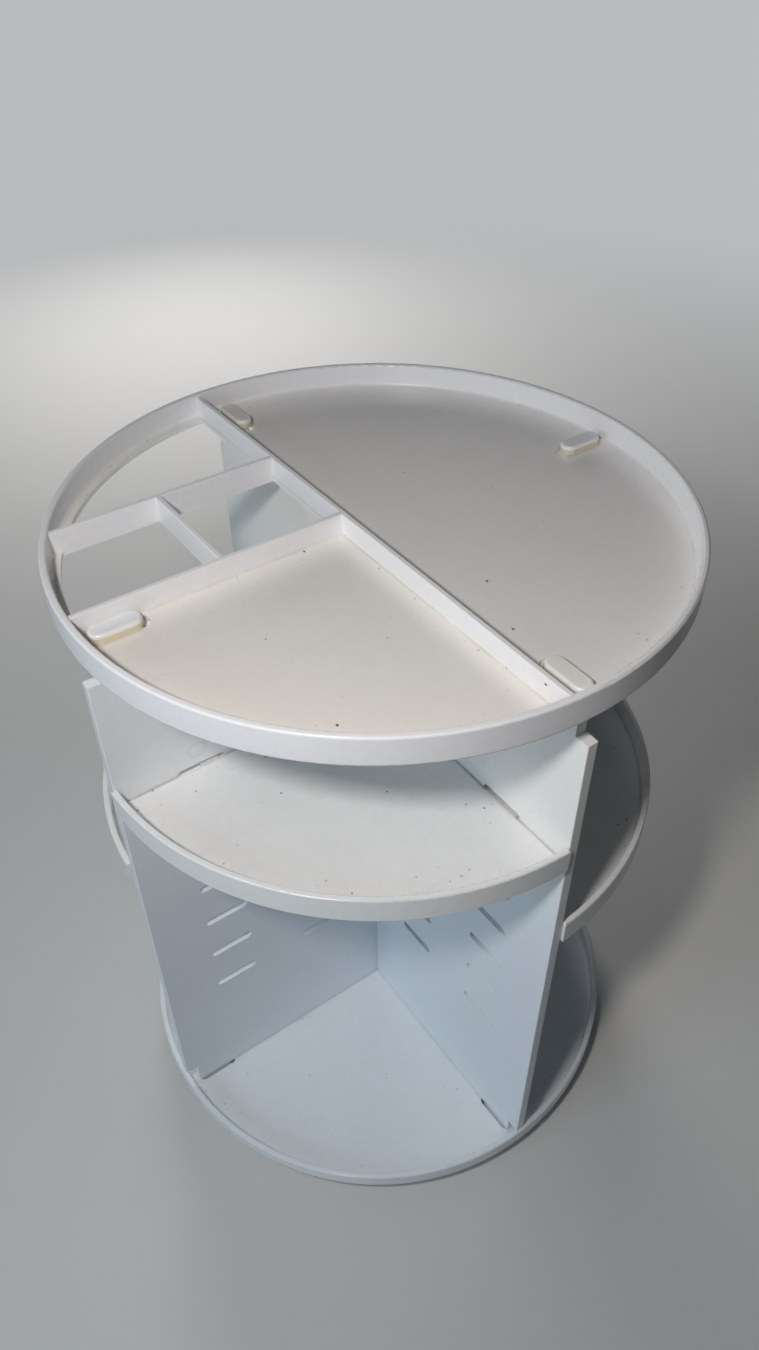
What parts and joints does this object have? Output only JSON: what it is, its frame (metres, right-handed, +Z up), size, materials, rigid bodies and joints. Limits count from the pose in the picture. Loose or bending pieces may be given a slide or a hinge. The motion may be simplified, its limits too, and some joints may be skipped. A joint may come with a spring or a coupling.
{
  "type": "rotating makeup organizer",
  "caption": "Round turntable organizer for cosmetics: base tray, crossed slotted plates with hook-in quarter shelves between them, and a top tray with open brush cells.",
  "frame": {"origin": "on the table, under the turning axis, at the bottom of the rubber feet", "axes": "+Z up along the turning axis; X and Y along the two crossed plates; the quarter facing -X -Y holds the highest shelf and faces the viewer"},
  "size_m": [0.23, 0.23, 0.2994],
  "materials": {
    "white_plastic": "semi-gloss moulded ABS, slightly aged white",
    "base_plastic": "matte moulded ABS, white",
    "cage_plastic": "natural nylon",
    "rubber": "matte soft rubber",
    "steel": "zinc-plated steel"
  },
  "bodies": {
    "base": {"turntable_plate": "base_plastic", "rubber_foot_1": "rubber", "rubber_foot_2": "rubber", "rubber_foot_3": "rubber", "rubber_foot_4": "rubber", "rubber_foot_5": "rubber", "rubber_foot_6": "rubber"},
    "cage": {"ball_cage": "cage_plastic", "bearing_balls": "steel"},
    "carousel": {"retaining_washer": "steel", "pivot_screw": "steel", "base_tray": "white_plastic", "cross_plate_left_right": "white_plastic", "cross_plate_front_rear": "white_plastic", "front_shelf": "white_plastic", "right_shelf": "white_plastic", "rear_shelf": "white_plastic", "left_shelf": "white_plastic", "top_tray": "white_plastic"}
  },
  "joints": [
    {"name": "turntable_spin", "type": "hinge", "parent": "base", "child": "carousel", "pos_m": [0, 0, 0.009], "axis": [0, 0, 1], "continuous": true},
    {"name": "cage_spin", "type": "hinge", "parent": "base", "child": "cage", "pos_m": [0, 0, 0.00675], "axis": [0, 0, 1], "continuous": true}
  ],
  "couplings": [
    {"joint": "cage_spin", "follows": "turntable_spin", "ratio": 0.5}
  ]
}
